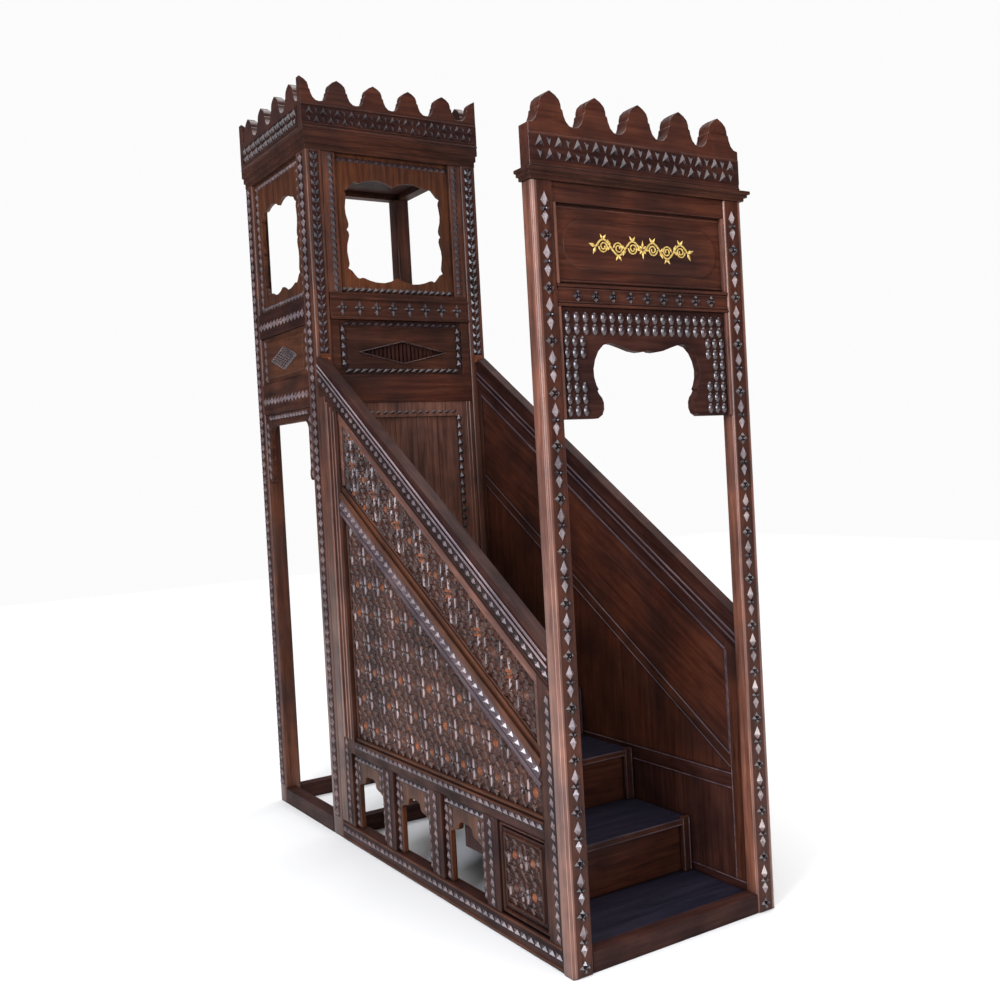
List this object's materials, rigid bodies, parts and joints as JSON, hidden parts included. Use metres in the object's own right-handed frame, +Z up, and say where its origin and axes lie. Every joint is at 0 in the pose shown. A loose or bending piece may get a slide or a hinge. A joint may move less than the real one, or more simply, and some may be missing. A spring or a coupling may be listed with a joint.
{
  "type": "minbar",
  "caption": "Carved wooden minbar pulpit with a portal, a straight panelled stair between side walls, and a crested kiosk tower behind.",
  "frame": {"origin": "centre of the bounding box at floor level, the face it stands on", "axes": "+Z up, -Y towards the portal (front), +Y towards the tower, +X to the right of someone facing the portal"},
  "size_m": [0.952, 2.708, 3.48],
  "materials": {
    "dark_wood": "glossy stained carved hardwood",
    "warm_wood": "glossy stained hardwood, warm brown",
    "red_wood": "glossy stained hardwood, reddish",
    "tread_wood": "near-black painted or stained boards, worn satin",
    "plank_wood": "satin greyish-brown planks with upright grain"
  },
  "bodies": {
    "root": {"portal_post_left": "warm_wood", "portal_post_right": "warm_wood", "portal_sill": "dark_wood", "portal_crest": "dark_wood", "portal_cornice": "dark_wood", "portal_top_rail": "dark_wood", "portal_panel": "red_wood", "portal_rosette_rail": "red_wood", "portal_valance": "dark_wood", "portal_strips": "warm_wood", "handrail_left": "dark_wood", "slope_rail_left": "dark_wood", "level_rail_left": "dark_wood", "base_rail_left": "dark_wood", "front_stile_left": "dark_wood", "back_stile_left": "warm_wood", "upper_panel_left": "warm_wood", "lower_panel_left": "warm_wood", "base_panel_left": "warm_wood", "handrail_right": "dark_wood", "slope_rail_right": "dark_wood", "level_rail_right": "dark_wood", "base_rail_right": "dark_wood", "front_stile_right": "dark_wood", "back_stile_right": "warm_wood", "upper_panel_right": "warm_wood", "lower_panel_right": "warm_wood", "base_panel_right": "warm_wood", "base_stiles": "dark_wood", "arch_heads": "warm_wood", "floor_board": "tread_wood", "stair_treads": "tread_wood", "stair_platform": "tread_wood", "stair_risers": "dark_wood", "riser_end_strips": "warm_wood", "tower_post_front_left": "warm_wood", "tower_post_front_right": "warm_wood", "tower_post_back_left": "warm_wood", "tower_post_back_right": "warm_wood", "tower_side_sills": "dark_wood", "tower_cross_sills": "dark_wood", "tower_cornice": "dark_wood", "tower_ceiling": "dark_wood", "crown_front": "dark_wood", "crown_back": "dark_wood", "crown_left": "dark_wood", "crown_right": "dark_wood", "window_board_front": "warm_wood", "window_stiles": "dark_wood", "window_board_left": "warm_wood", "front_rail": "dark_wood", "grille_panel": "warm_wood", "grille_spindles": "dark_wood", "front_lower_rail": "dark_wood", "seat_back": "plank_wood", "side_rails_upper": "dark_wood", "side_rails_lower": "dark_wood", "side_panels": "warm_wood", "side_valances": "warm_wood", "tower_back_panel": "dark_wood"}
  },
  "joints": []
}
